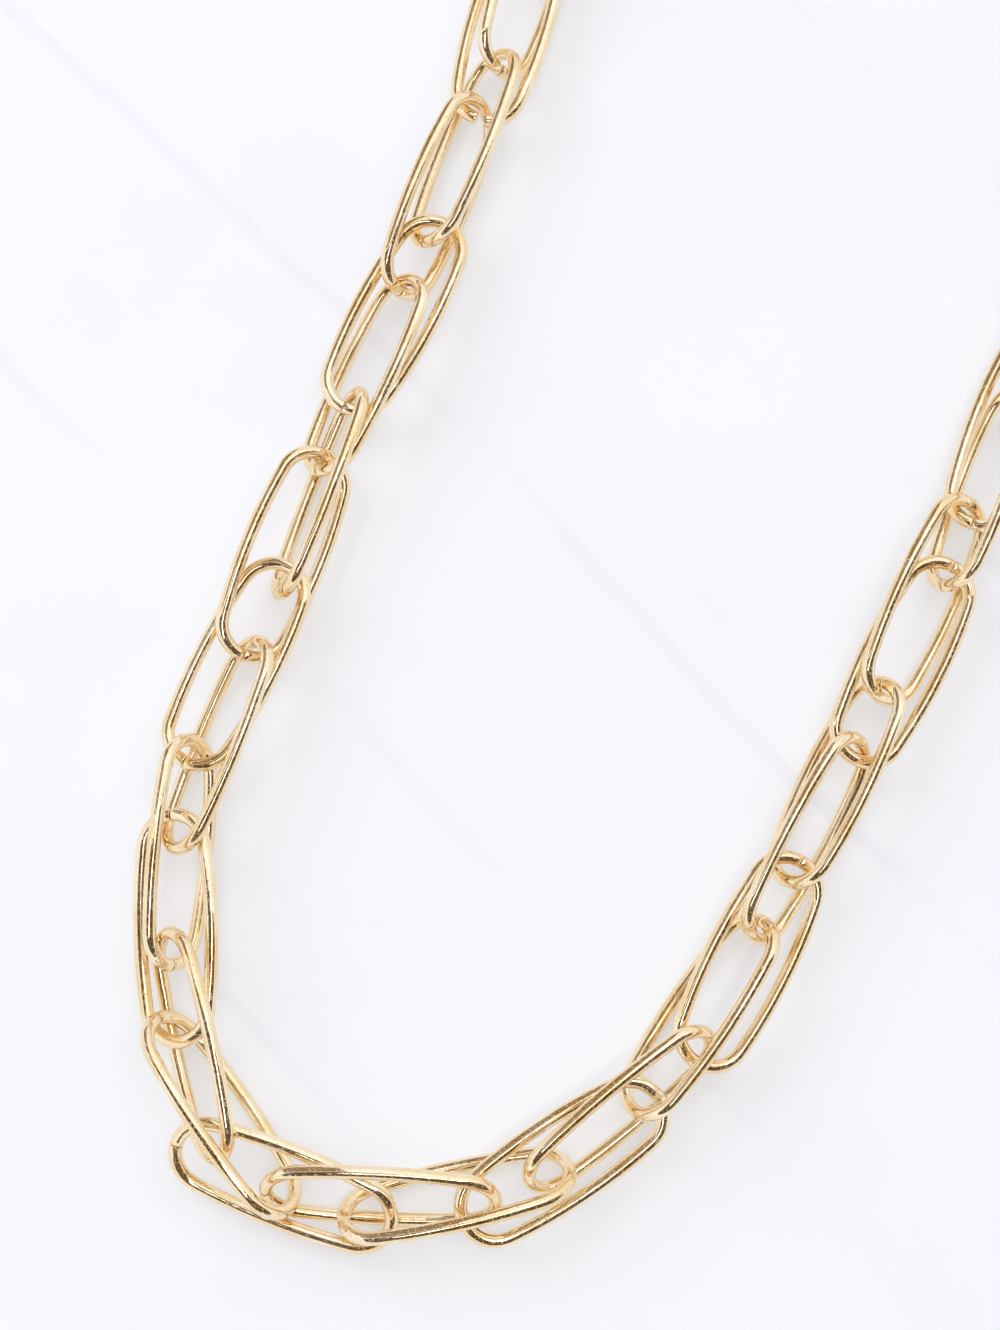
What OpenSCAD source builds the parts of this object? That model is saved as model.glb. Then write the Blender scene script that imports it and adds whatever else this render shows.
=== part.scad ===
// Infinity chain: a closed necklace laid on a flat surface.
// Every link is one long wire loop, cut at the middle of one rounded end.
// Each link passes through the next one and hooks into the one after that.

/* [Wire] */
// Diameter of the round wire of a link
wire_d = 1.4; // [1.1:0.05:1.45]

/* [Link] */
// Outside length of a link
link_l = 24.2; // [24:0.1:24.4]
// Outside width of a link at its middle
link_w = 9.5; // [9.4:0.1:9.6]
// Radius of a link's rounded ends, at the middle of the wire
end_r = 3.5; // [3.4:0.1:3.6]

/* [Lay] */
// Height at which a link that lies flat is carried on its neighbours' low wires
carried_z = 3.6; // [3.4:0.1:3.8]

/* [Clasp] */
// Diameter of the clasp's barrel
barrel_d = 6; // [5:0.5:6.5]
// Outside diameter of the ring at each end of the clasp
ring_d = 6.6; // [6.5:0.1:6.7]
// Diameter of the wire of those rings
ring_wire = 1.1; // [1:0.05:1.15]

/* [Hidden] */
FRONT = 28;
BACK = 10;
COUNT = FRONT + BACK;
$fn = 48;

// A link's bowed outline is four arcs that run smoothly into each other.
half_l = (link_l - wire_d) / 2;
half_w = (link_w - wire_d) / 2;
end_x = half_l - end_r;
side_r = (pow(end_x, 2) + pow(half_w, 2) - pow(end_r, 2)) / (2 * (half_w - end_r));
side_a = asin(end_x / (side_r - end_r));
end_a = 90 - side_a;

// Arcs stop this far short of each other inside a thin collar that joins them.
joint_gap = 0.02;
collar_d = wire_d + 0.02;
collar_l = 0.12;

// Gap left where the wire's two ends meet: pushed shut, or still a little open
SHUT = 0.15;
OPEN = 0.8;

// Middle of the whole chain's outline, which is put over the origin
MIDDLE = [18.9, 24.3];

// Front links from the top of the left leg, down, round the bottom and up the right leg.
// x and y are a link's middle, and heading is the way its long axis points.
// roll turns the link about that axis, with the inner side of the chain high where it is positive.
// cut is the gap in the wire, at the link's far end, or at its near end where it is negative.
x = 0;
y = 1;
heading = 2;
roll = 3;
cut = 4;
LINKS = [
    [  3.2,  75.6, -107, -45,  SHUT],
    [  1.0,  69.9, -106,   1,  OPEN],
    [ -3.8,  55.8, -111,  47,  SHUT],
    [ -6.5,  50.2, -112, -51,  SHUT],
    [-11.2,  37.0, -117,   3,  SHUT],
    [-14.2,  30.5, -114,  42,  SHUT],
    [-18.8,  17.5, -110,  66,  SHUT],
    [-22.5,  11.1, -111, -23,  SHUT],
    [-27.2,  -0.4, -116,   8,  SHUT],
    [-29.0,  -8.8, -111,  51, -SHUT],
    [-32.4, -19.8,  -94, -58,  SHUT],
    [-32.8, -27.4,  -87,  20, -SHUT],
    [-30.7, -39.1,  -76,  55,  OPEN],
    [-27.7, -45.8,  -54, -56, -SHUT],
    [-21.5, -52.8,  -21,  24, -SHUT],
    [-11.8, -53.8,   -3,  52, -SHUT],
    [ -4.3, -53.7,   12, -53, -OPEN],
    [  6.2, -50.4,   33,   8,  SHUT],
    [ 12.0, -45.4,   39,  54,  SHUT],
    [ 20.0, -36.2,   55, -48,  SHUT],
    [ 25.1, -30.8,   62,  10,  SHUT],
    [ 31.2, -18.4,   61,  52,  SHUT],
    [ 34.4, -12.6,   63, -47,  SHUT],
    [ 41.6,  -0.2,   62,   7,  SHUT],
    [ 44.1,   6.3,   64,  35,  SHUT],
    [ 50.4,  18.2,   68, -60, -SHUT],
    [ 53.8,  24.8,   67, -15, -SHUT],
    [ 58.9,  37.2,   66,  52,  SHUT],
];

// The back is out of sight: up from each leg, then a half circle with the clasp at its middle.
// Its links lean one way, lie flat and lean the other way in turn, as the front ones do.
LEANS = [-54, -4, 50];
side_links = BACK / 2;
back_pitch = 9.6;
FIRST = LINKS[0];
LAST = LINKS[FRONT - 1];
turn = FIRST[heading] + 360 - LAST[heading];

// Unit vectors along a heading and square to it, towards the inside of the chain
function along(h) = [cos(h), sin(h)];
function inward(h) = [-sin(h), cos(h)];
function spot(r) = [r[x], r[y]];

// The run up from the last front link and the radius of the turn that meet the run down to the first
end_run = 4;
across = spot(FIRST) - end_run * along(FIRST[heading]) - spot(LAST);
bend = inward(LAST[heading]) - inward(FIRST[heading]);
turn_r = cross(along(LAST[heading]), across) / cross(along(LAST[heading]), bend);
start_run = (across - turn_r * bend) * along(LAST[heading]);
turn_l = turn_r * turn * PI / 180;
route_l = start_run + turn_l + end_run;

// Place at a length along that route, as the first three values of a row
function route(s) =
    let (
        a = min(max((s - start_run) / turn_l, 0), 1) * turn,
        h = LAST[heading] + a,
        run = min(s, start_run),
        rest = max(s - start_run - turn_l, 0),
        at = spot(LAST) + run * along(LAST[heading])
            + turn_r * (inward(LAST[heading]) - inward(h)) + rest * along(h)
    )
    [at[0], at[1], h];

// Length along the route of the k-th link away from a leg, in step with the leg's own two strands
function strand_s(k, gap) = k * back_pitch + (k % 2 == 1 ? back_pitch - gap : 0);
function back_row(k) =
    let (
        up = k <= side_links,
        m = up ? k : BACK + 1 - k,
        gap = up ? norm(spot(LAST) - spot(LINKS[FRONT - 2])) : norm(spot(LINKS[1]) - spot(FIRST)),
        s = strand_s(m, gap),
        at = route(up ? s : route_l - s),
        lean = (m - 1) % 3
    )
    [at[0], at[1], at[2], LEANS[up ? lean : 2 - lean], SHUT];

function row(n) = n <= FRONT ? LINKS[n - 1] : back_row(n - FRONT);
function link_z(n) = max(wire_d / 2 + half_w * abs(sin(row(n)[roll])), carried_z);
function link_name(n) = str("link_", n < 10 ? "0" : "", n);

// A piece of wire bent to an arc in the XY plane
module wire_arc(radius, from, sweep) {
    rotate([0, 0, from])
        rotate_extrude(angle = sweep)
            translate([radius, 0])
                circle(d = wire_d);
}

// A link about its own middle, long along X, cut at its far end
module wire_link(gap) {
    near = joint_gap / end_r * 180 / PI;
    far = joint_gap / side_r * 180 / PI;
    gap_a = asin(gap / 2 / end_r);
    translate([-end_x, 0, 0])
        wire_arc(end_r, 180 - end_a + near, 2 * (end_a - near));
    for (way = [-1, 1]) {
        translate([0, way * (half_w - side_r), 0])
            wire_arc(side_r, way * 90 - side_a + far, 2 * (side_a - far));
        translate([end_x, 0, 0])
            wire_arc(end_r, way > 0 ? gap_a : near - end_a, end_a - near - gap_a);
        for (end = [-1, 1])
            translate([end * (end_x + end_r * cos(end_a)), way * end_r * sin(end_a), 0])
                rotate([90, 0, end * way * end_a])
                    cylinder(d = collar_d, h = collar_l, center = true);
    }
}

module link(n) {
    r = row(n);
    color("gold")
        translate([r[x] - MIDDLE[0], r[y] - MIDDLE[1], link_z(n)])
            rotate([0, 0, r[heading]])
                rotate([r[roll], 0, 0])
                    rotate([0, 0, r[cut] < 0 ? 180 : 0])
                        wire_link(abs(r[cut]));
}

// The clasp is a plain barrel with a fixed upright ring at each end, which the link beside it hooks.
// A ring stands in that link's rounded end, a hair short of its wire.
ring_hair = 0.25;
hook_x = half_l - (wire_d + ring_wire) / 2 - ring_hair;
ring_r = (ring_d - ring_wire) / 2;
ring_sink = 0.3;
barrel_round = 0.8;
clasp_z = max(barrel_d, ring_d) / 2;
clasp_links = [row(FRONT + side_links), row(FRONT + side_links + 1)];
clasp_from = spot(clasp_links[0]) + hook_x * along(clasp_links[0][heading]);
clasp_to = spot(clasp_links[1]) - hook_x * along(clasp_links[1][heading]);
clasp_line = clasp_to - clasp_from;
clasp_at = (clasp_from + clasp_to) / 2;
ring_x = norm(clasp_line) / 2 - ring_r;
barrel_l = 2 * (ring_x - ring_d / 2 + ring_sink);

module barrel_half() {
    r = barrel_d / 2;
    rotate([0, 90, 0])
        cylinder(d = barrel_d, h = barrel_l / 2 - barrel_round);
    translate([barrel_l / 2 - barrel_round, 0, 0])
        rotate([0, 90, 0]) {
            cylinder(r = r - barrel_round, h = barrel_round);
            rotate_extrude()
                translate([r - barrel_round, 0])
                    intersection() {
                        circle(r = barrel_round);
                        square(barrel_round);
                    }
        }
}

module clasp() {
    color("gold")
        translate([clasp_at[0] - MIDDLE[0], clasp_at[1] - MIDDLE[1], clasp_z])
            rotate([0, 0, atan2(clasp_line[1], clasp_line[0])]) {
                barrel_half();
                mirror([1, 0, 0])
                    barrel_half();
                for (way = [-1, 1])
                    translate([way * ring_x, 0, 0])
                        rotate([90, 0, 0])
                            rotate_extrude()
                                translate([ring_r, 0])
                                    circle(d = ring_wire);
            }
}

for (n = [1 : COUNT])
    link(n);
clasp();
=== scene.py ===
"""Infinity chain: polished gold wire links laid on a pale marble surface."""

import math

import bmesh
import bpy
import numpy as np
from mathutils import Matrix, Vector


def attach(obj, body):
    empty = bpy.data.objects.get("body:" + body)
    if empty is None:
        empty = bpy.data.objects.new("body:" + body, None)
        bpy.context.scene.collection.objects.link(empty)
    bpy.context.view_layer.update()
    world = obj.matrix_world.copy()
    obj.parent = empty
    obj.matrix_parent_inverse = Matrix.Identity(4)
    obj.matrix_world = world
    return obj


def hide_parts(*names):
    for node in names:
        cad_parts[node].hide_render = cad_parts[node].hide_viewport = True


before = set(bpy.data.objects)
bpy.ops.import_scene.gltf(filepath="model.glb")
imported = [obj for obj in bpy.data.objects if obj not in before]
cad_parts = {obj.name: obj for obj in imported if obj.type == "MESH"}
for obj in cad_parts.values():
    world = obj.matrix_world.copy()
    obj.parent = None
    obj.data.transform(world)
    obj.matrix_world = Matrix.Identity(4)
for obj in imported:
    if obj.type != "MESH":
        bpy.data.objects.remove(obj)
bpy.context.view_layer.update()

bl_info = {
    "name": "Infinity chain",
    "version": (1, 0, 0),
    "blender": (4, 5, 0),
    "location": "View3D > Sidebar > Infinity chain",
    "description": "Models a laid chain of interlaced wire links, its clasp and a pale marble stage",
    "category": "Add Mesh",
}

LINK_NODES = sorted(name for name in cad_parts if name.startswith("link_"))

# The photograph's height in pixels, and the camera's film along it in millimetres
PHOTO_HEIGHT = 1330
FILM_HEIGHT = 36

# Lengths are in metres from here on.

# A packed link's cut ends: how squarely they face across the link, and how far from its middle line they lie
CUT_FACING = 0.97
CUT_REACH = 0.0006

# Added to an area, so that a triangle without one isn't divided by nothing
TINY_AREA = 1e-20

# Fineness of the meshes: edges round a section, and steps along an arc or a full turn
WIRE_SIDES = 28
END_STEPS = 20
SIDE_STEPS = 26
CUT_SEGMENTS = 2
BARREL_STEPS = 64
BARREL_ROUNDING_STEPS = 6
RING_SIDES = 24
RING_STEPS = 56

# The clasp: how far a ring is sunk into the barrel, half the groove's width at its bottom and its mouth,
# and how near each other two corners of the mesh are merged
RING_SINK = 0.0003
GROOVE_BOTTOM = 0.0001
GROOVE_MOUTH = 0.0002
MERGE_DISTANCE = 1e-7

# Patterns in the plating. A scale is in repeats a metre, an edge is the two values of the noise between
# which the pattern fades in, and most is what it then adds. For wear and grit that is roughness.
TONE = {"scale": 180, "detail": 3, "edge": (0.35, 0.65)}
WEAR = {"scale": 420, "detail": 4, "grain": 0.6, "edge": (0.45, 0.75), "most": 0.08}
GRIT = {"scale": 9000, "detail": 2, "grain": 0.6, "edge": (0.5, 0.8), "most": 0.10}
PITS = {"scale": 6500, "detail": 2, "grain": 0.6, "edge": (0.60, 0.74)}
RIPPLE_SCALE = 520
RIPPLE_DETAIL = 2

# How high the ripple is against the pits, and the depth of both
RIPPLE_HEIGHT = 1.5
RELIEF_DEPTH = 0.00004

# Relief that shows on the wire and on the clasp, and the clasp's own wear and extra roughness
WIRE_RELIEF = 0.5
CLASP_RELIEF = 0.2
CLASP_MARKS = 0.7
CLASP_ROUGHNESS = 0.03

# The marble: how far it reaches each way, its finish, its clouds, and its veins, which show in patches only
MARBLE_REACH = 6
MARBLE_ROUGHNESS = 0.55
MARBLE_SHINE = 0.3
CLOUD = {"scale": 28, "detail": 5, "grain": 0.6, "edge": (0.42, 0.68), "most": 0.5}
VEIN_WAVE = {"Scale": 15.0, "Distortion": 1.6, "Detail": 3.0, "Detail Scale": 0.6}
VEIN_EDGE = (0.985, 1.0)
VEIN_PATCH = {"scale": 16, "detail": 2, "edge": (0.46, 0.60)}

# The room that the gold reflects. An edge, a rise or a foot is a pair of values between which one part
# fades into the next: of the cosine from the ceiling's middle for the ceiling, of Z of the direction
# looked in for the walls' and the pane's rise, and of its Y for the window and the foot of its post.
CEILING_MIDDLE = (0.20, -0.25, 0.95)
CEILING_EDGE = (0.57, 0.64)
CEILING_COLOUR = (0.125, 0.085, 0.055)
WALL_RISE = (0.0, 0.5)
WALL_LOW = (0.90, 0.91, 0.94)
WALL_HIGH = (1.06, 1.08, 1.12)
WINDOW_EDGE = (0.07, 0.12)
PANE_RISE = (0.4, 0.9)
PANE_LOW = (0.95, 0.97, 1.02)
PANE_HIGH = (1.28, 1.31, 1.40)
POST_MIDDLE = -0.42
POST_HALF_WIDTH = 0.27
POST_FOOT = (0.16, 0.20)
POST_COLOUR = (0.29, 0.21, 0.145)

# Soft lamps that light the marble but don't show in the gold: place, size and power
DAYLIGHT_LAMPS = {
    "window light": ((-0.50, 0.42, 0.42), (0.6, 0.6), 3.0),
    "sky light": ((0.0, 0.0, 0.9), (1.4, 1.4), 2.0),
}

# The narrow lamp whose streaks run along the wires, facing straight down
STRIP_PLACE = (0.025, -0.14, 0.60)
STRIP_SIZE = (0.07, 0.46)
STRIP_POWER = 0.50
STRIP_TURN = math.radians(-45)

# The point of the marble that the camera looks at, and its nearest and farthest sight
LOOK_AT = Vector((-0.0189, -0.0243, 0))
NEAREST, FARTHEST = 0.01, 10


def length_value(name, description, default):
    return bpy.props.FloatProperty(
        name=name, description=description, default=default, unit="LENGTH", precision=5)


def colour_value(name, description, default):
    return bpy.props.FloatVectorProperty(
        name=name, description=description, default=default, subtype="COLOR", size=3, min=0, max=1)


def share_value(name, description, default):
    return bpy.props.FloatProperty(name=name, description=description, default=default, min=0, max=1)


def positive_value(name, description, default):
    return bpy.props.FloatProperty(name=name, description=description, default=default, min=0)


class LinkSizes(bpy.types.PropertyGroup):
    """Sizes of one wire link"""

    wire: length_value("Wire", "Diameter of the wire", 0.0014)
    length: length_value("Length", "Outside length of a link", 0.0242)
    width: length_value("Width", "Outside width of a link at its middle", 0.0095)
    end_radius: length_value("End radius", "Radius of the rounded ends at the middle of the wire", 0.0035)
    edge: length_value("Cut edge", "Rounding of the wire's cut ends", 0.00006)


class ClaspSizes(bpy.types.PropertyGroup):
    """Sizes of the clasp"""

    barrel: length_value("Barrel", "Diameter of the barrel", 0.006)
    ring: length_value("Ring", "Outside diameter of each end ring", 0.0066)
    ring_wire: length_value("Ring wire", "Diameter of the rings' wire", 0.0011)
    rounding: length_value("Rounding", "Rounding of the barrel's ends", 0.0008)
    groove: length_value("Groove", "Depth of the groove where the barrel's halves meet", 0.00012)


class GoldFinish(bpy.types.PropertyGroup):
    """Finish of the plated wire"""

    colour: colour_value("Gold", "Colour of the plating", (0.985, 0.85, 0.62))
    deep: colour_value(
        "Deep gold", "Colour of the plating where it is a little thicker", (0.92, 0.695, 0.39))
    roughness: share_value("Roughness", "Roughness of clean polished wire", 0.05)
    marks: share_value("Marks", "How strongly tiny pits and polishing marks show", 0.5)


class StageLook(bpy.types.PropertyGroup):
    """Surface, light and camera"""

    surface: colour_value("Marble", "Colour of the pale surface", (0.538, 0.549, 0.577))
    vein: colour_value("Vein", "Colour of its faint veins", (0.513, 0.518, 0.553))
    # Painted light: the marble glows by itself, though it is no lamp, so the chain's shadows on it come out
    # lighter
    painted_floor_glow: positive_value(
        "Glow", "Light that the pale surface scatters back by itself, which softens shadows", 0.765)
    # Painted shade colour: this warm tint of the marble's glow is what makes the shadows on it warm
    painted_shadow_warmth: colour_value(
        "Glow colour", "Tint of that light, which gives the shadows their warmth", (1.0, 0.97, 0.90))
    daylight: colour_value("Daylight", "Colour of the window's and the sky's light", (0.80, 0.857, 1.0))
    light: positive_value("Light", "Strength of the lamps and the room together", 1.0)
    elevation: bpy.props.FloatProperty(
        name="Elevation", description="Height of the camera above the horizon",
        default=math.radians(81), subtype="ANGLE")
    distance: length_value("Distance", "Distance of the camera", 0.210)
    lens: positive_value("Lens", "Focal length in pixels of the photograph", 2000)


def settings():
    return bpy.context.scene.infinity_chain


# Shared shading

def feed(tree, socket, value):
    """Sets a socket to a constant, or links another node's output to it."""
    if isinstance(value, bpy.types.NodeSocket):
        tree.links.new(value, socket)
    else:
        socket.default_value = value


def value_noise(tree, vector, scale, detail, grain=0.5):
    noise = tree.nodes.new("ShaderNodeTexNoise")
    noise.inputs["Scale"].default_value = scale
    noise.inputs["Detail"].default_value = detail
    noise.inputs["Roughness"].default_value = grain
    feed(tree, noise.inputs["Vector"], vector)
    return noise.outputs["Fac"]


def remap(tree, value, low, high, to_low=0.0, to_high=1.0):
    step = tree.nodes.new("ShaderNodeMapRange")
    step.inputs["From Min"].default_value = low
    step.inputs["From Max"].default_value = high
    step.inputs["To Min"].default_value = to_low
    step.inputs["To Max"].default_value = to_high
    feed(tree, step.inputs["Value"], value)
    return step.outputs["Result"]


def pattern(tree, vector, scale, detail, edge, grain=0.5, most=1.0):
    """Noise that fades in from nothing to its most between two of its values."""
    return remap(tree, value_noise(tree, vector, scale, detail, grain), *edge, 0.0, most)


def arithmetic(tree, operation, *values):
    """Result of a math node, each value a constant or another node's output."""
    node = tree.nodes.new("ShaderNodeMath")
    node.operation = operation
    for socket, value in zip(node.inputs, values):
        feed(tree, socket, value)
    return node.outputs["Value"]


def blend(tree, factor, a, b, kind="MIX"):
    """Mixes two colours, each a constant or another node's output."""
    mix = tree.nodes.new("ShaderNodeMix")
    mix.data_type, mix.blend_type = "RGBA", kind
    feed(tree, mix.inputs["Factor"], factor)
    for name, colour in (("A", a), ("B", b)):
        constant = not isinstance(colour, bpy.types.NodeSocket)
        feed(tree, mix.inputs[name], (*colour, 1) if constant else colour)
    return mix.outputs["Result"]


def polish_group():
    """Node group: what polishing and handling leave on plated wire, as colour, roughness and height."""
    name = "polished plating"
    if name in bpy.data.node_groups:
        return bpy.data.node_groups[name]
    tree = bpy.data.node_groups.new(name, "ShaderNodeTree")
    for socket, way, kind in (
            ("Gold", "INPUT", "NodeSocketColor"), ("Deep gold", "INPUT", "NodeSocketColor"),
            ("Roughness", "INPUT", "NodeSocketFloat"), ("Marks", "INPUT", "NodeSocketFloat"),
            ("Colour", "OUTPUT", "NodeSocketColor"), ("Roughness", "OUTPUT", "NodeSocketFloat"),
            ("Height", "OUTPUT", "NodeSocketFloat")):
        tree.interface.new_socket(socket, in_out=way, socket_type=kind)
    take = tree.nodes.new("NodeGroupInput").outputs
    give = tree.nodes.new("NodeGroupOutput").inputs
    place = tree.nodes.new("ShaderNodeTexCoord").outputs["Object"]

    tone = pattern(tree, place, **TONE)
    feed(tree, give["Colour"], blend(tree, tone, take["Gold"], take["Deep gold"]))

    both = arithmetic(tree, "ADD", pattern(tree, place, **WEAR), pattern(tree, place, **GRIT))
    feed(tree, give["Roughness"],
         arithmetic(tree, "MULTIPLY_ADD", both, take["Marks"], take["Roughness"]))

    pits = pattern(tree, place, **PITS)
    ripple = value_noise(tree, place, RIPPLE_SCALE, RIPPLE_DETAIL)
    feed(tree, give["Height"], arithmetic(tree, "MULTIPLY_ADD", ripple, RIPPLE_HEIGHT, pits))
    return tree


def gold_material(name, finish, roughness, marks, bump):
    material = bpy.data.materials.new(name)
    material.use_nodes = True
    tree = material.node_tree
    surface = tree.nodes["Principled BSDF"].inputs
    surface["Metallic"].default_value = 1.0
    polish = tree.nodes.new("ShaderNodeGroup")
    polish.node_tree = polish_group()
    polish.inputs["Gold"].default_value = (*finish.colour, 1)
    polish.inputs["Deep gold"].default_value = (*finish.deep, 1)
    polish.inputs["Roughness"].default_value = roughness
    polish.inputs["Marks"].default_value = marks
    feed(tree, surface["Base Color"], polish.outputs["Colour"])
    feed(tree, surface["Roughness"], polish.outputs["Roughness"])
    relief = tree.nodes.new("ShaderNodeBump")
    relief.inputs["Strength"].default_value = bump
    relief.inputs["Distance"].default_value = RELIEF_DEPTH
    feed(tree, relief.inputs["Height"], polish.outputs["Height"])
    feed(tree, surface["Normal"], relief.outputs["Normal"])
    return material


# Meshes

def surface_of(node):
    """Corners, middles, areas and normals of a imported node's triangles."""
    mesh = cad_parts[node].data
    mesh.calc_loop_triangles()
    corners = np.empty(len(mesh.vertices) * 3)
    mesh.vertices.foreach_get("co", corners)
    corners = corners.reshape(-1, 3)
    faces = np.empty(len(mesh.loop_triangles) * 3, dtype=np.int32)
    mesh.loop_triangles.foreach_get("vertices", faces)
    a, b, c = (corners[faces.reshape(-1, 3)[:, i]] for i in range(3))
    square = np.cross(b - a, c - a)
    area = np.linalg.norm(square, axis=1) / 2
    return corners, (a + b + c) / 3, area, square / (2 * area[:, None] + TINY_AREA)


def main_axes(middles, area):
    """Middle of a surface and its three axes, from the one it spreads least along to the one it does most."""
    centre = (middles * area[:, None]).sum(0) / area.sum()
    spread = ((middles - centre) * area[:, None]).T @ (middles - centre)
    return centre, np.linalg.eigh(spread)[1].T


def place_of(node):
    """Matrix that lays a flat link, its seam at +X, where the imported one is, and the gap at that seam."""
    corners, middles, area, normals = surface_of(node)
    centre, (up, across, along) = main_axes(middles, area)
    cut = (np.abs(normals @ across) > CUT_FACING) & (np.abs((middles - centre) @ across) < CUT_REACH)
    if ((middles[cut] - centre) @ along * area[cut]).sum() < 0:
        along = -along
    across = np.cross(up, along)
    axes = np.stack([along, across, up])
    local = corners @ axes.T
    middle = (local.min(0) + local.max(0)) / 2 @ axes
    gap = 2 * np.abs((middles[cut] - middle) @ across * area[cut]).sum() / area[cut].sum()
    matrix = Matrix.Identity(4)
    for i, axis in enumerate((along, across, up)):
        for row in range(3):
            matrix[row][i] = axis[row]
    matrix.translation = Vector(middle)
    return matrix, gap


def spin_on(bm, ring, centre, angle, steps):
    """Carries the last ring of edges round a centre and returns the new last ring."""
    made = bmesh.ops.spin(bm, geom=ring, cent=centre, axis=(0, 0, 1), angle=angle, steps=steps,
                          use_merge=False, use_normal_flip=False, use_duplicate=False)
    return [part for part in made["geom_last"] if isinstance(part, bmesh.types.BMEdge)]


def turn_closed(bm, geometry, centre, axis, steps):
    """Turns an outline once round an axis, so that it closes on itself."""
    bmesh.ops.spin(bm, geom=geometry, cent=centre, axis=axis, angle=2 * math.pi, steps=steps,
                   use_merge=True, use_normal_flip=False, use_duplicate=False)


def finish_mesh(bm, name, material, body="root"):
    bmesh.ops.recalc_face_normals(bm, faces=bm.faces)
    mesh = bpy.data.meshes.new(name)
    bm.to_mesh(mesh)
    bm.free()
    mesh.materials.append(material)
    for polygon in mesh.polygons:
        polygon.use_smooth = True
    piece = bpy.data.objects.new(name, mesh)
    bpy.context.scene.collection.objects.link(piece)
    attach(piece, body)
    return piece


def wire_link(bm, sizes, gap):
    """One link about its own middle: a round wire carried through four arcs, its ends facing at +X."""
    reach = (sizes.length - sizes.wire) / 2
    half = (sizes.width - sizes.wire) / 2
    end_x = reach - sizes.end_radius
    bow = (end_x ** 2 + half ** 2 - sizes.end_radius ** 2) / (2 * (half - sizes.end_radius))
    side = math.asin(end_x / (bow - sizes.end_radius))
    end = math.pi / 2 - side
    start = math.asin(gap / 2 / sizes.end_radius)
    turned = Matrix.Rotation(start, 4, "Z") @ Matrix.Translation((sizes.end_radius, 0, 0))
    section = Matrix.Translation((end_x, 0, 0)) @ turned @ Matrix.Rotation(math.pi / 2, 4, "X")
    bmesh.ops.create_circle(bm, cap_ends=True, segments=WIRE_SIDES, radius=sizes.wire / 2, matrix=section)
    first = list(bm.edges)
    ring = list(bm.edges)
    for centre, angle, steps in (
            ((end_x, 0, 0), end - start, END_STEPS // 2),
            ((0, half - bow, 0), 2 * side, SIDE_STEPS),
            ((-end_x, 0, 0), 2 * end, END_STEPS),
            ((0, bow - half, 0), 2 * side, SIDE_STEPS),
            ((end_x, 0, 0), end - start, END_STEPS // 2)):
        ring = spin_on(bm, ring, centre, angle, steps)
    bmesh.ops.edgeloop_fill(bm, edges=ring)
    bmesh.ops.bevel(bm, geom=first + ring, offset=sizes.edge, offset_type="OFFSET",
                    segments=CUT_SEGMENTS, profile=0.5, affect="EDGES", material=-1)


def barrel_outline(sizes, end):
    """Outline of the barrel's half section, from its near end to its far one, as X and radius."""
    radius = sizes.barrel / 2
    flat = radius - sizes.rounding
    half = [(-end, 0), (-end, flat)]
    for step in range(1, BARREL_ROUNDING_STEPS + 1):
        turn = step / BARREL_ROUNDING_STEPS * math.pi / 2
        half.append((-end + sizes.rounding * (1 - math.cos(turn)), flat + sizes.rounding * math.sin(turn)))
    groove = [(-GROOVE_MOUTH, radius), (-GROOVE_BOTTOM, radius - sizes.groove),
              (GROOVE_BOTTOM, radius - sizes.groove), (GROOVE_MOUTH, radius)]
    return half + groove + [(-x, y) for x, y in reversed(half)]


class CHAIN_OT_links(bpy.types.Operator):
    """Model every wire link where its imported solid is"""

    bl_idname = "chain.links"
    bl_label = "Wire links"

    def execute(self, context):
        chain = settings()
        finish = chain.finish
        gold = gold_material("polished gold wire", finish, finish.roughness, finish.marks, WIRE_RELIEF)
        for node in LINK_NODES:
            place, gap = place_of(node)
            bm = bmesh.new()
            wire_link(bm, chain.link, gap)
            bmesh.ops.transform(bm, matrix=place, verts=bm.verts)
            piece = finish_mesh(bm, "wire_" + node, gold)
            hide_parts(node)
        return {"FINISHED"}


class CHAIN_OT_clasp(bpy.types.Operator):
    """Model the clasp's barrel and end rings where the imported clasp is"""

    bl_idname = "chain.clasp"
    bl_label = "Clasp"

    def execute(self, context):
        chain = settings()
        sizes = chain.clasp
        corners, middles, area, _ = surface_of("clasp")
        centre, axes = main_axes(middles, area)
        along = Vector(axes[2])
        along.z = 0
        along.normalize()
        reach = float(np.abs((corners - centre) @ np.array(along)).max())
        height = float(corners[:, 2].max() / 2)
        place = (Matrix.Translation((centre[0], centre[1], height))
                 @ along.to_track_quat("X", "Z").to_matrix().to_4x4())
        ring_x = reach - sizes.ring / 2
        bm = bmesh.new()
        outline = barrel_outline(sizes, ring_x - sizes.ring / 2 + RING_SINK)
        verts = [bm.verts.new((x, 0, y)) for x, y in outline]
        edges = [bm.edges.new(pair) for pair in zip(verts, verts[1:])]
        turn_closed(bm, verts + edges, (0, 0, 0), (1, 0, 0), BARREL_STEPS)
        for way in (-1, 1):
            section = Matrix.Translation((way * ring_x + (sizes.ring - sizes.ring_wire) / 2, 0, 0))
            made = bmesh.ops.create_circle(
                bm, cap_ends=False, segments=RING_SIDES, radius=sizes.ring_wire / 2, matrix=section)
            loop = list({edge for vert in made["verts"] for edge in vert.link_edges})
            turn_closed(bm, made["verts"] + loop, (way * ring_x, 0, 0), (0, 1, 0), RING_STEPS)
        bmesh.ops.remove_doubles(bm, verts=bm.verts, dist=MERGE_DISTANCE)
        bmesh.ops.transform(bm, matrix=place, verts=bm.verts)
        roughness = chain.finish.roughness + CLASP_ROUGHNESS
        gold = gold_material("polished gold clasp", chain.finish, roughness, CLASP_MARKS, CLASP_RELIEF)
        piece = finish_mesh(bm, "barrel_clasp", gold)
        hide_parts("clasp")
        return {"FINISHED"}


# Stage

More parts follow.
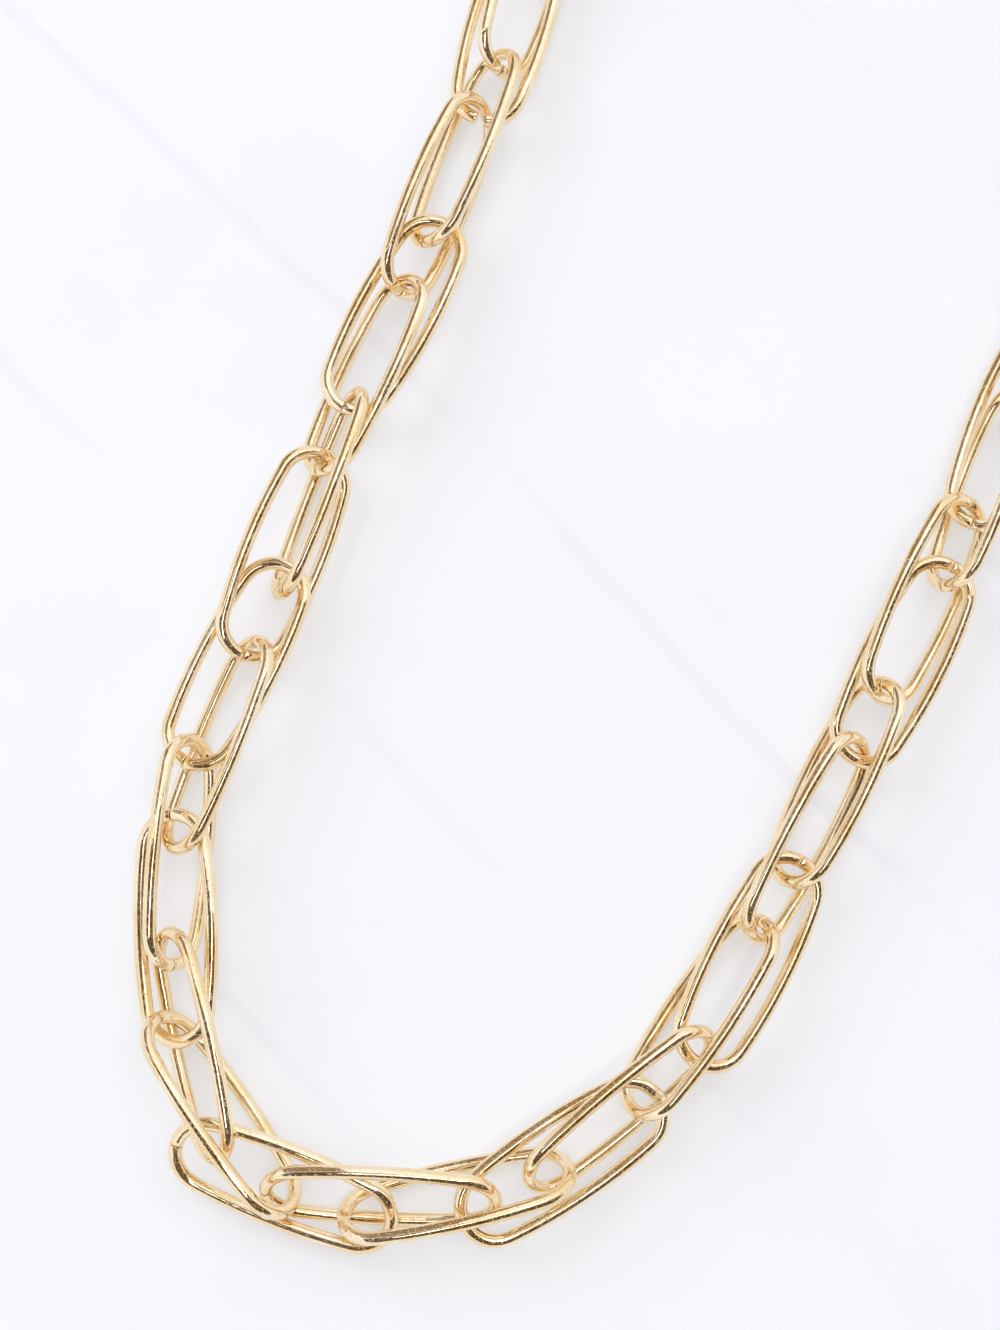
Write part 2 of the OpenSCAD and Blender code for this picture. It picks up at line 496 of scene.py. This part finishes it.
def marble_material(look):
    material = bpy.data.materials.new("pale marble")
    material.use_nodes = True
    tree = material.node_tree
    surface = tree.nodes["Principled BSDF"].inputs
    surface["Roughness"].default_value = MARBLE_ROUGHNESS
    surface["Specular IOR Level"].default_value = MARBLE_SHINE
    place = tree.nodes.new("ShaderNodeTexCoord").outputs["Object"]
    cloud = pattern(tree, place, **CLOUD)
    wave = tree.nodes.new("ShaderNodeTexWave")
    wave.bands_direction = "DIAGONAL"
    for socket, value in VEIN_WAVE.items():
        wave.inputs[socket].default_value = value
    feed(tree, wave.inputs["Vector"], place)
    thread = remap(tree, wave.outputs["Fac"], *VEIN_EDGE)
    patch = pattern(tree, place, **VEIN_PATCH)
    vein = arithmetic(tree, "MULTIPLY_ADD", thread, patch, cloud)
    stone = blend(tree, vein, look.surface, look.vein)
    feed(tree, surface["Base Color"], stone)
    # Painted light: the marble glows with its own colour times a warm tint, which lightens and warms the
    # shadows cast on it
    feed(tree, surface["Emission Color"], blend(tree, 1.0, stone, look.painted_shadow_warmth, "MULTIPLY"))
    surface["Emission Strength"].default_value = look.painted_floor_glow
    return material


def studio_world(look):
    """Bright walls, a dim ceiling round the camera, and a tall window to the north with a dark post."""
    world = bpy.data.worlds.new("studio")
    world.use_nodes = True
    tree = world.node_tree
    way = tree.nodes.new("ShaderNodeTexCoord").outputs["Generated"]
    split = tree.nodes.new("ShaderNodeSeparateXYZ")
    feed(tree, split.inputs["Vector"], way)
    east, north, up = (split.outputs[axis] for axis in "XYZ")
    toward = tree.nodes.new("ShaderNodeVectorMath")
    toward.operation = "DOT_PRODUCT"
    feed(tree, toward.inputs[0], way)
    toward.inputs[1].default_value = Vector(CEILING_MIDDLE).normalized()

    ceiling = remap(tree, toward.outputs["Value"], *CEILING_EDGE)
    walls = blend(tree, remap(tree, up, *WALL_RISE), WALL_LOW, WALL_HIGH)
    room = blend(tree, ceiling, walls, CEILING_COLOUR)

    post = arithmetic(tree, "COMPARE", east, POST_MIDDLE, POST_HALF_WIDTH)
    standing = arithmetic(tree, "MULTIPLY", post, remap(tree, north, *POST_FOOT))
    pane = blend(tree, remap(tree, up, *PANE_RISE), PANE_LOW, PANE_HIGH)
    window = blend(tree, standing, pane, POST_COLOUR)

    background = tree.nodes["Background"].inputs
    feed(tree, background["Color"], blend(tree, remap(tree, north, *WINDOW_EDGE), room, window))
    background["Strength"].default_value = look.light
    return world


def soft_lamp(name, place, size, power, colour=(1, 1, 1)):
    """A rectangular lamp that faces the origin."""
    lamp = bpy.data.lights.new(name, "AREA")
    lamp.shape = "RECTANGLE"
    lamp.size, lamp.size_y = size
    lamp.energy = power
    lamp.color = colour
    holder = bpy.data.objects.new(name, lamp)
    holder.location = place
    holder.rotation_euler = (-Vector(place)).to_track_quat("-Z", "Y").to_euler()
    bpy.context.scene.collection.objects.link(holder)
    return holder


def photo_camera(look):
    """The camera, where the photograph was taken from."""
    camera = bpy.data.cameras.new("camera")
    camera.sensor_width = FILM_HEIGHT
    camera.lens = look.lens / PHOTO_HEIGHT * FILM_HEIGHT
    camera.clip_start, camera.clip_end = NEAREST, FARTHEST
    holder = bpy.data.objects.new("camera", camera)
    back = Vector((0, -math.cos(look.elevation), math.sin(look.elevation)))
    holder.location = LOOK_AT + back * look.distance
    holder.rotation_euler = (-back).to_track_quat("-Z", "Y").to_euler()
    bpy.context.scene.collection.objects.link(holder)
    return holder


class CHAIN_OT_stage(bpy.types.Operator):
    """Lay out the marble surface, the lamps and the camera"""

    bl_idname = "chain.stage"
    bl_label = "Stage"

    def execute(self, context):
        look = settings().stage
        bm = bmesh.new()
        bmesh.ops.create_grid(bm, x_segments=1, y_segments=1, size=MARBLE_REACH)
        mesh = bpy.data.meshes.new("marble_surface")
        bm.to_mesh(mesh)
        bm.free()
        mesh.materials.append(marble_material(look))
        floor = bpy.data.objects.new("marble_surface", mesh)
        context.scene.collection.objects.link(floor)

        context.scene.world = studio_world(look)
        for name, (place, size, power) in DAYLIGHT_LAMPS.items():
            lamp = soft_lamp(name, place, size, power * look.light, look.daylight)
            lamp.visible_glossy = False
        strip = soft_lamp("overhead strip", STRIP_PLACE, STRIP_SIZE, STRIP_POWER * look.light)
        strip.rotation_euler = (0, 0, STRIP_TURN)
        context.scene.view_settings.view_transform = "Standard"
        context.scene.camera = photo_camera(look)
        return {"FINISHED"}


class ChainSettings(bpy.types.PropertyGroup):
    """All of the chain's settings"""

    link: bpy.props.PointerProperty(type=LinkSizes)
    clasp: bpy.props.PointerProperty(type=ClaspSizes)
    finish: bpy.props.PointerProperty(type=GoldFinish)
    stage: bpy.props.PointerProperty(type=StageLook)


OPERATORS = (CHAIN_OT_links, CHAIN_OT_clasp, CHAIN_OT_stage)


class CHAIN_PT_panel(bpy.types.Panel):
    """The chain's settings and steps"""

    bl_label = "Infinity chain"
    bl_idname = "CHAIN_PT_panel"
    bl_space_type = "VIEW_3D"
    bl_region_type = "UI"
    bl_category = "Infinity chain"

    def draw(self, context):
        chain = settings()
        for group in (chain.link, chain.clasp, chain.finish, chain.stage):
            box = self.layout.box()
            for name in group.bl_rna.properties.keys():
                if name not in ("rna_type", "name"):
                    box.prop(group, name)
        for operator in OPERATORS:
            self.layout.operator(operator.bl_idname)


CLASSES = (LinkSizes, ClaspSizes, GoldFinish, StageLook, ChainSettings, *OPERATORS, CHAIN_PT_panel)


def register():
    for item in CLASSES:
        bpy.utils.register_class(item)
    bpy.types.Scene.infinity_chain = bpy.props.PointerProperty(type=ChainSettings)


def unregister():
    del bpy.types.Scene.infinity_chain
    for item in reversed(CLASSES):
        bpy.utils.unregister_class(item)


def main():
    register()
    bpy.ops.chain.links()
    bpy.ops.chain.clasp()
    bpy.ops.chain.stage()


if __name__ == "__main__":
    main()
